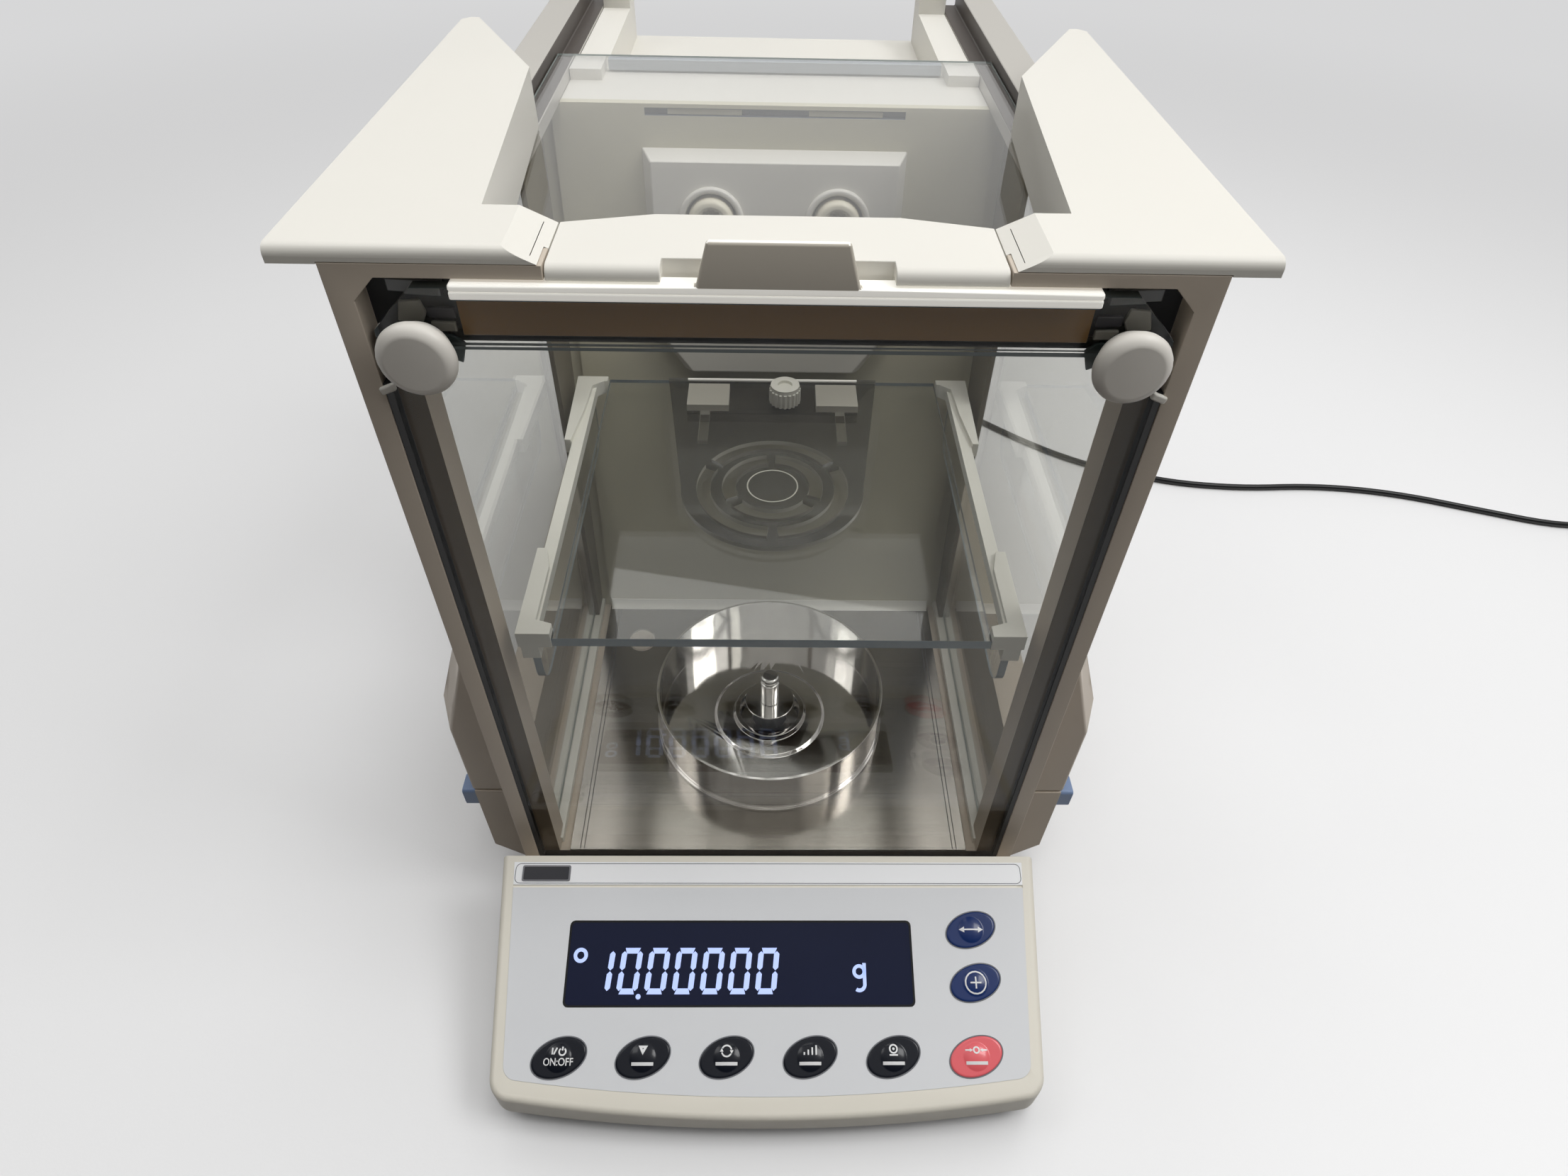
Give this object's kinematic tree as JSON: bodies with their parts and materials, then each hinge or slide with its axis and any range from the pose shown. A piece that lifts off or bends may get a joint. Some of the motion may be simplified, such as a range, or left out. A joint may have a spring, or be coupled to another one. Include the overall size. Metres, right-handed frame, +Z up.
{
  "type": "microbalance",
  "caption": "Bench microbalance with a glass weighing chamber, sliding roof and side doors, a sloping keypad console in front and a supply lead.",
  "frame": {"origin": "on the table, under the middle of the body's outline", "axes": "+X to the user's right, +Y from the user to the back, +Z up"},
  "size_m": [0.9382, 0.5713, 0.3286],
  "materials": {
    "shell": "satin moulded plastic",
    "bezel": "satin moulded plastic",
    "dark": "matte",
    "clear": "clear",
    "smoked": "clear",
    "window": "gloss, tinted",
    "steel": "brushed",
    "polished": "polished",
    "plate": "matte paint",
    "cast": "bare",
    "rubber": "matte",
    "panel": "satin printed sheet",
    "navy": "satin",
    "black_key": "satin",
    "pink_key": "satin",
    "tab": "satin",
    "cream": "satin",
    "board": "laminate"
  },
  "bodies": {
    "balance": {"base_housing": "shell", "base_plate": "plate", "base_screws": "steel", "front_feet": "rubber", "floor_plate": "steel", "spirit_level": "clear", "weighing_lever": "cast", "weighing_cell": "cast", "front_frame": "shell", "front_glass": "clear", "front_gasket": "rubber", "glass_trim": "shell", "shoulder_cover_left": "shell", "shoulder_cover_right": "shell", "roof_rails": "shell", "side_floor_rails": "steel", "rear_wall": "shell", "ioniser_cover": "shell", "ioniser_emitters": "cream", "rear_housing": "shell", "rear_panel": "dark", "main_board": "board", "shelf_glasses": "clear", "shelf_rails": "shell", "shelf_vent_plate": "smoked", "console_top": "bezel", "console_bottom": "bezel", "panel_overlay": "panel", "display_window": "window", "display_board": "board", "power_jack": "dark", "dc_plug": "dark", "supply_cord": "dark", "cord_coil": "dark", "ac_adapter": "dark"},
    "roof_door": {"roof_glass": "clear", "roof_beam": "shell"},
    "side_door_left": {"side_door_glass_left": "clear", "side_door_handle_left": "shell"},
    "side_door_right": {"side_door_glass_right": "clear", "side_door_handle_right": "shell"},
    "thumbscrew_left": {"thumbscrew_left": "shell"},
    "thumbscrew_right": {"thumbscrew_right": "shell"},
    "shelf_knob": {"shelf_knob": "shell"},
    "door_catch_left": {"door_catch_left": "tab"},
    "door_catch_right": {"door_catch_right": "tab"},
    "levelling_foot_left": {"levelling_foot_left": "shell"},
    "levelling_foot_right": {"levelling_foot_right": "shell"},
    "draft_ring": {"draft_ring": "steel"},
    "weighing_pan": {"weighing_pan": "polished"},
    "reference_weight": {"reference_weight": "polished"},
    "calibration_weight": {"calibration_weight": "steel"},
    "key_power": {"key_power": "black_key"},
    "key_calibrate": {"key_calibrate": "black_key"},
    "key_mode": {"key_mode": "black_key"},
    "key_range": {"key_range": "black_key"},
    "key_print": {"key_print": "black_key"},
    "key_zero": {"key_zero": "pink_key"},
    "key_select": {"key_select": "navy"},
    "key_ioniser": {"key_ioniser": "navy"}
  },
  "joints": [
    {"name": "roof_door_slide", "type": "slide", "parent": "balance", "child": "roof_door", "axis": [0, 1, 0], "range_m": [0, 0.096]},
    {"name": "side_door_left_slide", "type": "slide", "parent": "balance", "child": "side_door_left", "axis": [0, 1, 0], "range_m": [0, 0.14]},
    {"name": "side_door_right_slide", "type": "slide", "parent": "balance", "child": "side_door_right", "axis": [0, 1, 0], "range_m": [0, 0.14]},
    {"name": "thumbscrew_left_turn", "type": "hinge", "parent": "balance", "child": "thumbscrew_left", "pos_m": [-0.093, -0.12505, 0.2994], "axis": [0, -1, 0], "continuous": true},
    {"name": "thumbscrew_right_turn", "type": "hinge", "parent": "balance", "child": "thumbscrew_right", "pos_m": [0.093, -0.12505, 0.2994], "axis": [0, -1, 0], "continuous": true},
    {"name": "shelf_knob_turn", "type": "hinge", "parent": "balance", "child": "shelf_knob", "pos_m": [0.0058, 0.02975, 0.19], "axis": [0, 0, 1], "continuous": true},
    {"name": "door_catch_left_slide", "type": "slide", "parent": "balance", "child": "door_catch_left", "axis": [0, 1, 0], "range_m": [0, 0.005]},
    {"name": "door_catch_right_slide", "type": "slide", "parent": "balance", "child": "door_catch_right", "axis": [0, 1, 0], "range_m": [0, 0.005]},
    {"name": "levelling_foot_left_turn", "type": "hinge", "parent": "balance", "child": "levelling_foot_left", "pos_m": [-0.088, 0.191, 0.01], "axis": [0, 0, 1], "continuous": true},
    {"name": "levelling_foot_right_turn", "type": "hinge", "parent": "balance", "child": "levelling_foot_right", "pos_m": [0.088, 0.191, 0.01], "axis": [0, 0, 1], "continuous": true},
    {"name": "draft_ring_lift", "type": "slide", "parent": "balance", "child": "draft_ring", "axis": [0, 0, 1], "range_m": [0, 0.03]},
    {"name": "pan_lift", "type": "slide", "parent": "balance", "child": "weighing_pan", "axis": [0, 0, 1], "range_m": [0, 0.02]},
    {"name": "weight_lift", "type": "slide", "parent": "weighing_pan", "child": "reference_weight", "axis": [0, 0, 1], "range_m": [0, 0.05]},
    {"name": "calibration_weight_lift", "type": "slide", "parent": "balance", "child": "calibration_weight", "axis": [0, 0, 1], "range_m": [0, 0.004]},
    {"name": "key_power_press", "type": "slide", "parent": "balance", "child": "key_power", "axis": [0, 0.2974, -0.9548], "range_m": [0, 0.0008], "stiffness_N_per_m": 400},
    {"name": "key_calibrate_press", "type": "slide", "parent": "balance", "child": "key_calibrate", "axis": [0, 0.2974, -0.9548], "range_m": [0, 0.0008], "stiffness_N_per_m": 400},
    {"name": "key_mode_press", "type": "slide", "parent": "balance", "child": "key_mode", "axis": [0, 0.2974, -0.9548], "range_m": [0, 0.0008], "stiffness_N_per_m": 400},
    {"name": "key_range_press", "type": "slide", "parent": "balance", "child": "key_range", "axis": [0, 0.2974, -0.9548], "range_m": [0, 0.0008], "stiffness_N_per_m": 400},
    {"name": "key_print_press", "type": "slide", "parent": "balance", "child": "key_print", "axis": [0, 0.2974, -0.9548], "range_m": [0, 0.0008], "stiffness_N_per_m": 400},
    {"name": "key_zero_press", "type": "slide", "parent": "balance", "child": "key_zero", "axis": [0, 0.2974, -0.9548], "range_m": [0, 0.0008], "stiffness_N_per_m": 400},
    {"name": "key_select_press", "type": "slide", "parent": "balance", "child": "key_select", "axis": [0, 0.2974, -0.9548], "range_m": [0, 0.0008], "stiffness_N_per_m": 400},
    {"name": "key_ioniser_press", "type": "slide", "parent": "balance", "child": "key_ioniser", "axis": [0, 0.2974, -0.9548], "range_m": [0, 0.0008], "stiffness_N_per_m": 400}
  ]
}
